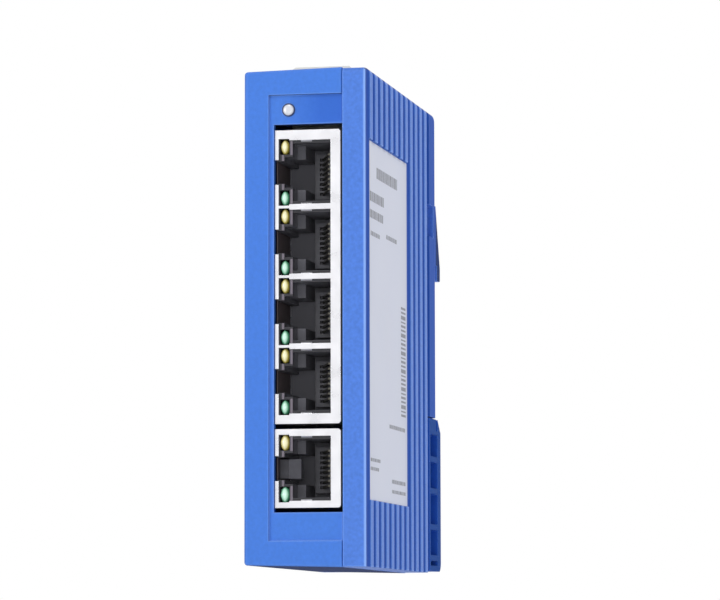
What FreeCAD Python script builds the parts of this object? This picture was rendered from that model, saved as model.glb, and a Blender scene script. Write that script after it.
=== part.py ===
"""A slim network switch in a two-part plastic housing that snaps onto a 35 mm mounting rail.

Frame, in millimetres: X runs across the housing (+X is the cover side), Y from the front face towards the
rail (+Y), Z up. The origin is the middle of the rail seat: Y = 0 is the seat plane, Z = 0 the rail's centre line.
Each separate piece is written to parts/NAME.step.
"""
import FreeCAD, Part
import math
import os

# ---------------------------------------------------------------- housing
HOUSING_DEPTH = 74.0            # front face to rail seat
RAIL_CENTRE_HEIGHT = 49.5       # rail centre line above the bottom
FRONT_BELOW_WINDOW = 11.15      # bottom to the window for the jacks
FRONT_ABOVE_WINDOW = 11.5       # window to the top
WALL = 2.0
SEAM_FROM_JACKS = 0.5           # seam between shell and cover, to the right of the jacks
SEAM_GAP = 0.12                 # shadow line between shell and cover
SHELL_DRAFT = 0.45              # top and bottom lean in by this much at the left wall
COVER_STEP = 0.1                # the cover is this much lower than the shell, top and bottom
LEFT_EDGE_RADIUS = 0.8
FRONT_EDGE_RADIUS = 0.35
COVER_FRONT_RADIUS = 1.1
COVER_TOP_RADIUS = 1.2
REAR_TOP_RADIUS = 2.0

# ---------------------------------------------------------------- rail hook and rail latch
RAIL_HEIGHT = 35.0
RAIL_SLOT_WIDTH = 1.6           # room for the rail's flange behind the lip
RAIL_SLOT_CLEARANCE = 1.4       # slot beyond the flange edge
RAIL_GRIP = 2.0                 # how far lip and latch nose reach over the flange
HOOK_PROUD = 5.0
HOOK_SLOPE_LENGTH = 16.5        # height over which the hook rises out of the rear wall
HOOK_LIP_FLAT = 3.0
HOOK_LIP_RADIUS = 0.8
SEAT_RELIEF = 0.3               # slots are this much deeper than the seat
HOOK_POCKET_DEPTH = 1.5
HOOK_POCKET_LENGTH = 6.4
HOOK_POCKET_HEIGHT = 7.1
HOOK_POCKET_REAR = 2.44         # pocket to the seat plane
HOOK_POCKET_RISE = 9.1          # pocket's lower edge above the lip's lower edge
LATCH_DEPTH = 12.8
LATCH_GAP = 0.3
LATCH_LIFT = 0.5                # latch's lower edge above the housing's
LATCH_TRAVEL = 3.0
LATCH_RAMP = 2.8
LATCH_WALL = 3.3
LATCH_SKIN = 0.9
LATCH_SLOT_CLEARANCE = 0.6      # latch's slot beyond the flange edge
LATCH_WEB = 0.8                 # between slot and first pocket
LATCH_RIB = 1.2
LATCH_RIB_HEIGHTS = (25.1, 18.1, 10.2, 3.4)     # rib centres above the housing's bottom
LATCH_POCKET_DEPTH = 7.0
LATCH_CORNER_RADIUS = 2.0
GUIDE_NECK_WIDTH = 4.0
GUIDE_NECK_DEPTH = 2.4
GUIDE_HEAD_WIDTH = 8.0
GUIDE_HEAD_DEPTH = 2.2
GUIDE_LOW_MARGIN = 4.0          # guide rail starts this far above the housing's bottom
SPRING_LENGTH = 9.0
SPRING_DIAMETER = 3.8
SPRING_WIRE = 0.55
SPRING_TURNS = 5
SPRING_SEAT_GAP = 0.05
SPRING_STEPS = 9                # flats per turn
SPRING_SIDES = 5                # flats round the wire

# ---------------------------------------------------------------- side cover face
GROOVE_PITCH = 5.36
GROOVE_REAR = 7.0               # no groove's centre is nearer the seat plane
GROOVE_FIRST = 0.84             # centre of the first groove behind the front face
GROOVE_WIDTH = 2.8
GROOVE_DEPTH = 0.7
LABEL_FRONT = 2.1               # label recess, behind the front face
LABEL_LENGTH = 41.3
LABEL_LOW = 13.6                # above the bottom
LABEL_FROM_TOP = 14.6
LABEL_RECESS = 0.75
LABEL_THICKNESS = 0.2
LABEL_MARGIN = 0.15

# ---------------------------------------------------------------- front face
RECESS_DEPTH = 0.5
RECESS_LEFT = 5.2               # from the left wall
RECESS_RIM = 5.4                # bottom and top edge to the recess
WINDOW_LEFT = 6.2
WINDOW_GAP_LOW = 0.92           # below the single jack
WINDOW_GAP_HIGH = 1.1           # above the block of jacks
LENS_DIAMETER = 2.6
LENS_FROM_LEFT = 9.28
LENS_FROM_TOP = 8.5
LENS_PROUD = 0.15               # in front of the recess floor
LENS_CLEARANCE = 0.05
GUIDE_STEM = 4.6
GUIDE_BAR = 2.4                 # side of the square bar
GUIDE_NECK = 0.5                # square length between stem and bar
STATUS_LED_HEIGHT = 0.8
STATUS_LED_GAP = 0.3

# ---------------------------------------------------------------- network jacks
JACK_SET_BACK = 1.0             # shield face behind the front face
JACK_LEFT = 6.3                 # shield's left side from the left wall
JACK_WIDTH = 13.7
JACK_LENGTH = 21.0
BLOCK_PORTS = 4
PORT_BAR = 1.15                 # between two windows of the block
BLOCK_END_BAR = 2.1             # beyond the outer windows
SINGLE_END_BAR = 1.44
JACK_GAP = 1.05                 # between the single jack and the block
SHIELD_THICKNESS = 0.3
SHIELD_CORNER_RADIUS = 0.6
PORT_WINDOW_LEFT = 0.76         # shield window from the shield's left side
PORT_WINDOW_WIDTH = 10.88
PORT_WINDOW_HEIGHT = 13.15
LAMP_WINDOW_WIDTH = 2.25
LAMP_WINDOW_EXTRA = 0.3         # the window is this much higher, each way, where the lamps are
LATCH_NOTCH_HEIGHT = 5.1
LATCH_NOTCH_DEPTH = 12.0
TAB_WIDTH = 2.3
TAB_FROM_LEFT = 5.4
TAB_REACH = 0.3
TAB_LENGTH = 4.0
CAVITY_LEFT = 3.7               # mouth of the plug cavity from the shield's left side
CAVITY_HEIGHT = 11.9
CAVITY_DEPTH = 13.2
MOUTH_DEPTH = 4.4               # behind it, shoulders narrow the cavity
SHOULDER_WIDTH = 1.7
KEY_STEP_WIDTH = 1.7
KEY_STEP_HEIGHT = 6.3
KEY_SLOT_HEIGHT = 4.6
CARRIER_WIDTH = 9.4
CARRIER_PLATE = 1.4
CARRIER_LIFT = 1.25             # between the carrier's plate and the board
CARRIER_FRONT = 0.9
CARRIER_LENGTH = 17.6
CARRIER_FOOT = 3.0
COMB_START = 9.2
COMB_LENGTH = 2.6
COMB_HEIGHT = 4.9
COMB_BAR = 1.0                  # solid edge beyond the slots
COMB_SLOT = 0.62
CONTACT_COUNT = 8
CONTACT_PITCH = 1.02
CONTACT_WIDTH = 0.4
CONTACT_THICKNESS = 0.3
CONTACT_CLEARANCE = 0.05        # to the carrier
CONTACT_TIP = 10.4
CONTACT_RISE = 3.5              # free end above the carrier
LAMP_FROM_LEFT = 1.04
LAMP_WIDTH = 1.9
LAMP_HEIGHT = 3.1
LAMP_LENGTH = 6.0
LAMP_DOME = 0.6
LAMP_CORNER = 0.3               # corner chamfer, as a share of the lamp's width
LAMP_EDGE = 0.05                # lamp to the edge of its window
LAMP_CLEARANCE = 0.05
PEG_DIAMETER = 3.0
PEG_LENGTH = 2.4
PEG_BACK = 9.0                  # peg behind the jack's face
PEG_OFFSET = 5.7

# ---------------------------------------------------------------- circuit board
BOARD_THICKNESS = 1.6
BOARD_GAP = 0.2                 # board face behind the right edge of the jack shields
BOARD_FRONT = 3.0               # from the housing's front face
BOARD_REAR = 12.0               # from the seat plane
BOARD_LOW = 4.0                 # from the bottom
BOARD_HIGH = 4.2                # from the top
POST_DIAMETER = 5.0
SCREW_SHANK = 2.4
SCREW_LENGTH = 10.0
SCREW_BORE = 9.4
SCREW_HEAD = 4.6
SCREW_HEAD_HEIGHT = 1.6
SCREW_CLEARANCE = 0.05
SCREW_SLOT = 0.7
BOARD_HOLE = 2.8
PEG_HOLE = 3.2
PIN_HOLE = 1.2
SCREW_ROOM = 0.6                # between the screw heads and the cover
TOP_POST_FROM_SEAT = 15.0
TOP_POST_FROM_TOP = 8.5
LOW_POST_FROM_FRONT = 10.0
LOW_POST_HEIGHT = 6.5

# ---------------------------------------------------------------- parts on the board
CHIP_SIDE = 12.0
CHIP_THICKNESS = 0.9
CHIP_BACK = 22.0                # centre behind the jack housings
REGULATOR_LENGTH = 6.0
REGULATOR_WIDTH = 5.0
REGULATOR_THICKNESS = 1.5
CRYSTAL_LENGTH = 5.0
CRYSTAL_WIDTH = 3.2
CRYSTAL_THICKNESS = 1.3
FUSE_LENGTH = 6.1
FUSE_WIDTH = 2.6
FUSE_THICKNESS = 2.0
DIODE_LENGTH = 4.4
DIODE_WIDTH = 3.6
DIODE_THICKNESS = 2.3
INDUCTOR_SIDE = 7.3
INDUCTOR_CORNER = 1.6
INDUCTOR_THICKNESS = 4.0
INPUT_CAN_DIAMETER = 8.0
INPUT_CAN_LENGTH = 10.5
OUTPUT_CAN_DIAMETER = 6.3
OUTPUT_CAN_LENGTH = 7.7
CAN_BASE = 0.8
PART_GAP = 1.6                  # between neighbours on the board
TRANSFORMER_LENGTH = 9.5
TRANSFORMER_THICKNESS = 5.8
TRANSFORMER_BACK = 3.4          # behind the jack housings
TRANSFORMER_HEIGHT = 20.0       # serves two ports
SMALL_TRANSFORMER_HEIGHT = 12.0
TRANSFORMER_LEADS = 6
TRANSFORMER_LEAD = 0.5

# ---------------------------------------------------------------- power terminal in the top
POLES = 3
POLE_PITCH = 3.81
PLUG_FRONT = 24.0               # behind the front face
PLUG_LEFT = 4.7                 # from the left wall
PLUG_WIDTH = 12.8
PLUG_END = 0.5                  # plug beyond its last pole
PLUG_PROUD = 4.0                # above the housing's top
PLUG_HEAD = 13.6
PLUG_NOSE_LEFT = 7.0
PLUG_NOSE_WIDTH = 5.4
PLUG_NOSE_LENGTH = 7.4
PLUG_NOSE_END = 1.0
PLUG_CLEARANCE = 0.3
PLUG_CHAMFER = 0.6
WIRE_HOLE = 2.6                 # side of the square wire entry
WIRE_HOLE_X = 9.4               # from the plug's left side
SCREW_WELL = 3.4
SCREW_WELL_X = 3.4
CLAMP_LENGTH = 9.2
CLAMP_LEFT = 1.4
CLAMP_WIDTH = 2.9
CLAMP_HEIGHT = 4.2
CLAMP_ABOVE_NOSE = 3.0
CLAMP_CLEARANCE = 0.05
CLAMP_HOLE = 2.2
TERMINAL_SCREW_HEAD = 3.1
TERMINAL_SCREW_HEAD_HEIGHT = 1.8
TERMINAL_SCREW_SHANK = 2.0
TERMINAL_SCREW_DEEP = 1.2
HEADER_WALL = 1.0
HEADER_FLOOR = 1.6
HEADER_CLEARANCE = 0.1
PIN_SIDE = 1.0
PIN_IN_PLUG = 5.4
PIN_CLEARANCE = 0.1
PIN_TAIL = 0.8                  # beyond the board

# ---------------------------------------------------------------- cover snaps
SNAP_THICKNESS = 1.1
SNAP_WIDTH = 7.0
SNAP_LENGTH = 8.4
SNAP_BARB = 0.7
SNAP_BARB_LENGTH = 2.0
SNAP_GAP = 0.2
SNAPS_TOP = (15.0, 58.0)        # centre behind the front face
SNAPS_LOW = (26.0, 46.0)

# ---------------------------------------------------------------- places worked out from the sizes
BLOCK_HEIGHT = BLOCK_PORTS * (PORT_WINDOW_HEIGHT + PORT_BAR) - PORT_BAR + 2 * BLOCK_END_BAR
SINGLE_HEIGHT = PORT_WINDOW_HEIGHT + 2 * SINGLE_END_BAR
WINDOW_HEIGHT = WINDOW_GAP_LOW + SINGLE_HEIGHT + JACK_GAP + BLOCK_HEIGHT + WINDOW_GAP_HIGH
HOUSING_HEIGHT = FRONT_BELOW_WINDOW + WINDOW_HEIGHT + FRONT_ABOVE_WINDOW
SHELL_WIDTH = JACK_LEFT + JACK_WIDTH + SEAM_FROM_JACKS
HOUSING_WIDTH = JACK_LEFT + JACK_WIDTH + BOARD_GAP + BOARD_THICKNESS + SCREW_HEAD_HEIGHT + SCREW_ROOM + WALL
X_LEFT = -HOUSING_WIDTH / 2
X_RIGHT = HOUSING_WIDTH / 2
X_SEAM = X_LEFT + SHELL_WIDTH
X_COVER = X_SEAM + SEAM_GAP
X_SNAP_TIP = X_COVER + WALL - SNAP_LENGTH
Y_FRONT = -HOUSING_DEPTH
Z_LOW = -RAIL_CENTRE_HEIGHT
Z_HIGH = Z_LOW + HOUSING_HEIGHT
LIP_LOW_Z = RAIL_HEIGHT / 2 - RAIL_GRIP
SLOT_END_Z = RAIL_HEIGHT / 2 + RAIL_SLOT_CLEARANCE
LEDGE_Z = -LIP_LOW_Z + LATCH_GAP
LATCH_FRONT_Y = HOOK_PROUD - LATCH_DEPTH
NOTCH_Y = LATCH_FRONT_Y - LATCH_GAP
LATCH_LOW_Z = Z_LOW + LATCH_LIFT
WINDOW_LOW_Z = Z_LOW + FRONT_BELOW_WINDOW
SINGLE_LOW_Z = WINDOW_LOW_Z + WINDOW_GAP_LOW
BLOCK_LOW_Z = SINGLE_LOW_Z + SINGLE_HEIGHT + JACK_GAP
JACK_FACE_Y = Y_FRONT + JACK_SET_BACK
JACK_LEFT_X = X_LEFT + JACK_LEFT
JACK_RIGHT_X = JACK_LEFT_X + JACK_WIDTH
MOULD_FACE_Y = JACK_FACE_Y + SHIELD_THICKNESS
MOULD_REAR_Y = MOULD_FACE_Y + JACK_LENGTH
BOARD_X = JACK_RIGHT_X + BOARD_GAP
BOARD_FAR_X = BOARD_X + BOARD_THICKNESS
CARRIER_X = BOARD_X - CARRIER_PLATE - CARRIER_LIFT
CAVITY_LEFT_X = JACK_LEFT_X + CAVITY_LEFT
LENS_X = X_LEFT + LENS_FROM_LEFT
LENS_Z = Z_HIGH - LENS_FROM_TOP
LENS_TIP_Y = Y_FRONT + RECESS_DEPTH - LENS_PROUD
GUIDE_BAR_Y = LENS_TIP_Y + GUIDE_STEM
PLUG_LEFT_X = X_LEFT + PLUG_LEFT
PLUG_FRONT_Y = Y_FRONT + PLUG_FRONT
PLUG_REAR_Y = PLUG_FRONT_Y + POLES * POLE_PITCH + 2 * PLUG_END
PLUG_TOP_Z = Z_HIGH + PLUG_PROUD
PLUG_NECK_Z = PLUG_TOP_Z - PLUG_HEAD
NOSE_LOW_Z = PLUG_NECK_Z - PLUG_NOSE_LENGTH
NOSE_X = PLUG_LEFT_X + PLUG_NOSE_LEFT
CLAMP_Z = PLUG_NECK_Z + CLAMP_ABOVE_NOSE
POLES_Y = [PLUG_FRONT_Y + PLUG_END + POLE_PITCH * (pole + 0.5) for pole in range(POLES)]
GUIDE_TOP_Z = -SLOT_END_Z - LATCH_RIB - LATCH_GAP - SPRING_LENGTH
GUIDE_LOW_Z = Z_LOW + GUIDE_LOW_MARGIN
POSTS = ((-TOP_POST_FROM_SEAT, Z_HIGH - TOP_POST_FROM_TOP), (Y_FRONT + LOW_POST_FROM_FRONT, Z_LOW + LOW_POST_HEIGHT))


def vector(x, y, z):
    return FreeCAD.Vector(x, y, z)


def box(x, y, z):
    """A block from three (low, high) pairs."""
    return Part.makeBox(x[1] - x[0], y[1] - y[0], z[1] - z[0], vector(x[0], y[0], z[0]))


def polygon(points):
    return Part.Face(Part.makePolygon(points + points[:1]))


def prism_along_x(outline, x):
    """Outline of (y, z) points, pushed from x[0] to x[1]."""
    face = polygon([vector(x[0], y, z) for y, z in outline])
    return face.extrude(vector(x[1] - x[0], 0, 0))


def prism_along_y(outline, y):
    face = polygon([vector(px, y[0], pz) for px, pz in outline])
    return face.extrude(vector(0, y[1] - y[0], 0))


def prism_along_z(outline, z):
    face = polygon([vector(px, py, z[0]) for px, py in outline])
    return face.extrude(vector(0, 0, z[1] - z[0]))


def rod(diameter, start, direction, length):
    return Part.makeCylinder(diameter / 2, length, start, direction)


def join(shapes):
    """One solid from touching or overlapping solids."""
    return shapes[0].multiFuse(shapes[1:]).removeSplitter()


def group(shapes):
    """Separate solids that share one node."""
    return Part.makeCompound(shapes)


def edges_where(shape, test):
    """Straight edges whose end points both pass the test."""
    chosen = []
    for edge in shape.Edges:
        if len(edge.Vertexes) == 2 and all(test(vertex.Point) for vertex in edge.Vertexes):
            chosen.append(edge)
    return chosen


def near(value, target):
    return abs(value - target) < 1e-4


def rounded(shape, radius, test):
    return shape.makeFillet(radius, edges_where(shape, test))


def centred(middle, size):
    return (middle - size / 2, middle + size / 2)


# ---------------------------------------------------------------- housing
def side_outline(inset, low_extra=0.0):
    """The housing seen from the side: a tall block with its lower rear corner cut out for the latch."""
    front = Y_FRONT + inset
    low = Z_LOW + inset + low_extra
    high = Z_HIGH - inset - low_extra
    return [(front, low), (front, high), (-inset, high), (-inset, LEDGE_Z + inset),
            (NOTCH_Y - inset, LEDGE_Z + inset), (NOTCH_Y - inset, low)]


def hook(x):
    """The fixed upper rail hook: a wedge that grows out of the rear wall and ends in a lip."""
    slope_start = LIP_LOW_Z + HOOK_SLOPE_LENGTH
    outline = [(-WALL / 2, slope_start), (0, slope_start), (HOOK_PROUD, LIP_LOW_Z + HOOK_LIP_FLAT),
               (HOOK_PROUD, LIP_LOW_Z), (-WALL / 2, LIP_LOW_Z)]
    wedge = prism_along_x(outline, x)
    return rounded(wedge, HOOK_LIP_RADIUS,
                   lambda p: near(p.y, HOOK_PROUD) and near(p.z, LIP_LOW_Z))


def rail_slot(x):
    """The slot behind the lip; it is a little deeper than the seat."""
    return box(x, (-SEAT_RELIEF, RAIL_SLOT_WIDTH), (LIP_LOW_Z, SLOT_END_Z))


def shell_snap_pockets():
    pockets = []
    barb_x = (X_SNAP_TIP - SNAP_GAP, X_SNAP_TIP + SNAP_BARB_LENGTH + SNAP_GAP)
    for centre in SNAPS_TOP:
        pockets.append(box(barb_x, centred(Y_FRONT + centre, SNAP_WIDTH + 2 * SNAP_GAP),
                           (Z_HIGH - WALL, Z_HIGH - WALL + SNAP_BARB)))
    for centre in SNAPS_LOW:
        pockets.append(box(barb_x, centred(Y_FRONT + centre, SNAP_WIDTH + 2 * SNAP_GAP),
                           (Z_LOW + WALL - SNAP_BARB, Z_LOW + WALL)))
    return pockets


def latch_guide(extra):
    """The T-shaped rail that the latch runs on; extra widens it into the latch's groove."""
    neck = box(centred(0, GUIDE_NECK_WIDTH + 2 * extra), (NOTCH_Y - WALL / 2, NOTCH_Y + GUIDE_NECK_DEPTH),
               (GUIDE_LOW_Z, GUIDE_TOP_Z))
    head = box(centred(0, GUIDE_HEAD_WIDTH + 2 * extra),
               (NOTCH_Y + GUIDE_NECK_DEPTH - extra, NOTCH_Y + GUIDE_NECK_DEPTH + GUIDE_HEAD_DEPTH + extra),
               (GUIDE_LOW_Z, GUIDE_TOP_Z))
    return [neck, head]


def body_shell():
    x = (X_LEFT, X_SEAM)
    taper = [(X_SEAM, Z_LOW), (X_SEAM, Z_HIGH), (X_LEFT, Z_HIGH - SHELL_DRAFT), (X_LEFT, Z_LOW + SHELL_DRAFT)]
    block = prism_along_x(side_outline(0), x).common(prism_along_y(taper, (Y_FRONT, 0)))
    block = rounded(block, REAR_TOP_RADIUS, lambda p: near(p.y, 0) and p.z > Z_HIGH - 1)
    block = rounded(block, LEFT_EDGE_RADIUS, lambda p: near(p.x, X_LEFT) and (
        near(p.y, Y_FRONT) or p.z > Z_HIGH - REAR_TOP_RADIUS - 1 or p.z < Z_LOW + 1))
    block = rounded(block, FRONT_EDGE_RADIUS,
                    lambda p: near(p.y, Y_FRONT) and (p.z > Z_HIGH - 2 or p.z < Z_LOW + 2) and p.x > X_LEFT + 0.1)
    solid = join([block, hook(x)])
    inside = prism_along_x(side_outline(WALL), (X_LEFT + WALL, X_SEAM))
    recess = box((X_LEFT + RECESS_LEFT, X_SEAM), (Y_FRONT, Y_FRONT + RECESS_DEPTH),
                 (Z_LOW + RECESS_RIM, Z_HIGH - RECESS_RIM))
    window = box((X_LEFT + WINDOW_LEFT, X_SEAM), (Y_FRONT, Y_FRONT + WALL),
                 (WINDOW_LOW_Z, WINDOW_LOW_Z + WINDOW_HEIGHT))
    lens_hole = rod(LENS_DIAMETER + 2 * LENS_CLEARANCE, vector(LENS_X, Y_FRONT, LENS_Z), vector(0, 1, 0), WALL)
    plug_well = box((PLUG_LEFT_X - PLUG_CLEARANCE, PLUG_LEFT_X + PLUG_WIDTH + PLUG_CLEARANCE),
                    (PLUG_FRONT_Y - PLUG_CLEARANCE, PLUG_REAR_Y + PLUG_CLEARANCE), (Z_HIGH - WALL, Z_HIGH))
    solid = solid.cut([inside, recess, window, lens_hole, plug_well, rail_slot(x)] + shell_snap_pockets())
    added = latch_guide(0)
    for post_y, post_z in POSTS:
        post = rod(POST_DIAMETER, vector(X_LEFT + WALL / 2, post_y, post_z), vector(1, 0, 0),
                   BOARD_X - X_LEFT - WALL / 2)
        bore = rod(SCREW_SHANK + 2 * SCREW_CLEARANCE, vector(BOARD_X - SCREW_BORE, post_y, post_z),
                   vector(1, 0, 0), SCREW_BORE)
        added.append(post.cut(bore))
    return join([solid] + added)


def side_cover():
    x = (X_COVER, X_RIGHT)
    block = prism_along_x(side_outline(0, COVER_STEP), x)
    block = block.common(box(x, (Y_FRONT, 0), (Z_LOW + COVER_STEP, Z_HIGH - COVER_STEP)))
    block = rounded(block, REAR_TOP_RADIUS, lambda p: near(p.y, 0) and p.z > Z_HIGH - 1)
    block = rounded(block, COVER_FRONT_RADIUS, lambda p: near(p.y, Y_FRONT) and near(p.x, X_RIGHT))
    block = rounded(block, COVER_TOP_RADIUS, lambda p: near(p.x, X_RIGHT) and near(p.z, Z_HIGH - COVER_STEP))
    solid = join([block, hook(x)])
    inside = prism_along_x(side_outline(WALL), (X_COVER, X_RIGHT - WALL))
    label = box((X_RIGHT - LABEL_RECESS, X_RIGHT), (Y_FRONT + LABEL_FRONT, Y_FRONT + LABEL_FRONT + LABEL_LENGTH),
                (Z_LOW + LABEL_LOW, Z_HIGH - LABEL_FROM_TOP))
    pocket_z = LIP_LOW_Z + HOOK_POCKET_RISE
    pocket = box((X_RIGHT - HOOK_POCKET_DEPTH, X_RIGHT),
                 (-HOOK_POCKET_REAR - HOOK_POCKET_LENGTH, -HOOK_POCKET_REAR),
                 (pocket_z, pocket_z + HOOK_POCKET_HEIGHT))
    groove_radius = (GROOVE_WIDTH ** 2 / 4 + GROOVE_DEPTH ** 2) / (2 * GROOVE_DEPTH)
    grooves = []
    count = int((HOUSING_DEPTH - GROOVE_FIRST - GROOVE_REAR) / GROOVE_PITCH) + 1
    for number in range(count):
        start = vector(X_RIGHT - GROOVE_DEPTH + groove_radius, Y_FRONT + GROOVE_FIRST + number * GROOVE_PITCH, Z_LOW)
        grooves.append(rod(2 * groove_radius, start, vector(0, 0, 1), HOUSING_HEIGHT))
    solid = solid.cut([inside, label, pocket, rail_slot(x)] + grooves)
    arms = []
    for centre in SNAPS_TOP:
        arms.append(snap_arm(centre, Z_HIGH - WALL - SNAP_GAP, 1))
    for centre in SNAPS_LOW:
        arms.append(snap_arm(centre, Z_LOW + WALL + SNAP_GAP, -1))
    return join([solid] + arms)


def snap_arm(centre, outer_z, up):
    """An arm of the cover with a barb that catches in the shell's wall; up is 1 at the top, -1 below."""
    tip = X_SNAP_TIP
    inner_z = outer_z - up * SNAP_THICKNESS
    barb_z = outer_z + up * SNAP_BARB
    root = X_RIGHT - WALL / 2
    outline = [(root, inner_z), (tip, inner_z), (tip, outer_z), (tip + SNAP_BARB_LENGTH / 2, barb_z),
               (tip + SNAP_BARB_LENGTH, barb_z), (tip + SNAP_BARB_LENGTH, outer_z), (root, outer_z)]
    return prism_along_y(outline, centred(Y_FRONT + centre, SNAP_WIDTH))


def rating_label():
    floor_x = X_RIGHT - LABEL_RECESS
    low_y = Y_FRONT + LABEL_FRONT + LABEL_MARGIN
    low_z = Z_LOW + LABEL_LOW + LABEL_MARGIN
    return box((floor_x, floor_x + LABEL_THICKNESS), (low_y, low_y + LABEL_LENGTH - 2 * LABEL_MARGIN),
               (low_z, Z_HIGH - LABEL_FROM_TOP - LABEL_MARGIN))


# ---------------------------------------------------------------- rail latch
def rail_latch():
    x = (X_LEFT, X_RIGHT)
    top = -LIP_LOW_Z
    slot_low = -RAIL_HEIGHT / 2 - LATCH_SLOT_CLEARANCE
    outline = [(LATCH_FRONT_Y, LATCH_LOW_Z), (LATCH_FRONT_Y, top), (-SEAT_RELIEF, top), (-SEAT_RELIEF, slot_low),
               (RAIL_SLOT_WIDTH, slot_low), (RAIL_SLOT_WIDTH, top), (HOOK_PROUD, top - LATCH_RAMP),
               (HOOK_PROUD, LATCH_LOW_Z)]
    solid = prism_along_x(outline, x)
    solid = rounded(solid, LATCH_CORNER_RADIUS, lambda p: near(p.y, HOOK_PROUD) and near(p.z, LATCH_LOW_Z))
    cuts = []
    high = slot_low - LATCH_WEB
    for rib in LATCH_RIB_HEIGHTS + (LATCH_LIFT + LATCH_RIB / 2,):
        low = Z_LOW + rib + LATCH_RIB / 2
        for side in ((X_RIGHT - LATCH_POCKET_DEPTH, X_RIGHT), (X_LEFT, X_LEFT + LATCH_POCKET_DEPTH)):
            cuts.append(box(side, (LATCH_FRONT_Y + LATCH_SKIN, HOOK_PROUD - LATCH_WALL), (low, high)))
        high = low - LATCH_RIB
    groove_top = GUIDE_TOP_Z + SPRING_LENGTH
    for part in latch_guide(LATCH_GAP):
        bounds = part.BoundBox
        cuts.append(box((bounds.XMin, bounds.XMax), (bounds.YMin, bounds.YMax), (LATCH_LOW_Z, groove_top)))
    return solid.cut(cuts)


def latch_spring():
    """A compression spring that stands on the guide rail and pushes the latch up."""
    low = GUIDE_TOP_Z + SPRING_SEAT_GAP + SPRING_WIRE / 2
    rise = SPRING_LENGTH - 2 * SPRING_SEAT_GAP - SPRING_WIRE
    radius = (SPRING_DIAMETER - SPRING_WIRE) / 2
    middle_y = NOTCH_Y + (GUIDE_NECK_DEPTH + GUIDE_HEAD_DEPTH) / 2
    steps = SPRING_TURNS * SPRING_STEPS
    sections = []
    for step in range(steps + 1):
        turn = 2 * math.pi * step / SPRING_STEPS
        corners = []
        for corner in range(SPRING_SIDES):
            angle = 2 * math.pi * corner / SPRING_SIDES
            reach = radius + SPRING_WIRE / 2 * math.cos(angle)
            corners.append(vector(reach * math.cos(turn), middle_y + reach * math.sin(turn),
                                  low + rise * step / steps + SPRING_WIRE / 2 * math.sin(angle)))
        sections.append(Part.makePolygon(corners + corners[:1]))
    return Part.makeLoft(sections, True, True)


# ---------------------------------------------------------------- network jacks
def port_centres():
    """Height of each port's centre, port 1 at the top."""
    lowest = BLOCK_LOW_Z + BLOCK_END_BAR + PORT_WINDOW_HEIGHT / 2
    block = [lowest + (PORT_WINDOW_HEIGHT + PORT_BAR) * number for number in range(BLOCK_PORTS)]
    return list(reversed(block)) + [SINGLE_LOW_Z + SINGLE_HEIGHT / 2]


def lamp_offset():
    return (PORT_WINDOW_HEIGHT - LAMP_HEIGHT) / 2 + LAMP_WINDOW_EXTRA - LAMP_EDGE


def shield(low, height, centres):
    """Folded sheet around a jack housing: front with windows, left side, top, bottom and rear."""
    x = (JACK_LEFT_X, JACK_RIGHT_X)
    z = (low, low + height)
    outer = box(x, (JACK_FACE_Y, MOULD_REAR_Y + SHIELD_THICKNESS), z)
    for corner_z in z:
        outer = rounded(outer, SHIELD_CORNER_RADIUS, lambda p: near(p.z, corner_z) and near(p.x, JACK_RIGHT_X))
    inner = box((JACK_LEFT_X + SHIELD_THICKNESS, JACK_RIGHT_X + 1), (MOULD_FACE_Y, MOULD_REAR_Y),
                (z[0] + SHIELD_THICKNESS, z[1] - SHIELD_THICKNESS))
    cuts = [inner]
    tabs = []
    for centre in centres:
        window_x = (JACK_LEFT_X + PORT_WINDOW_LEFT, JACK_LEFT_X + PORT_WINDOW_LEFT + PORT_WINDOW_WIDTH)
        window_z = centred(centre, PORT_WINDOW_HEIGHT)
        cuts.append(box(window_x, (JACK_FACE_Y, MOULD_FACE_Y), window_z))
        cuts.append(box((window_x[0], window_x[0] + LAMP_WINDOW_WIDTH), (JACK_FACE_Y, MOULD_FACE_Y),
                        centred(centre, PORT_WINDOW_HEIGHT + 2 * LAMP_WINDOW_EXTRA)))
        cuts.append(box((JACK_LEFT_X, window_x[0]), (JACK_FACE_Y, JACK_FACE_Y + LATCH_NOTCH_DEPTH),
                        centred(centre, LATCH_NOTCH_HEIGHT)))
        tab_x = (JACK_LEFT_X + TAB_FROM_LEFT, JACK_LEFT_X + TAB_FROM_LEFT + TAB_WIDTH)
        for up in (1, -1):
            edge = centre + up * PORT_WINDOW_HEIGHT / 2
            outline = [(JACK_FACE_Y, edge), (JACK_FACE_Y + SHIELD_THICKNESS, edge - up * TAB_REACH),
                       (JACK_FACE_Y + TAB_LENGTH / 2, edge - up * TAB_REACH), (JACK_FACE_Y + TAB_LENGTH, edge),
                       (MOULD_FACE_Y, edge)]
            tabs.append(prism_along_x(outline, tab_x))
    return join([outer.cut(cuts)] + tabs)


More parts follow.
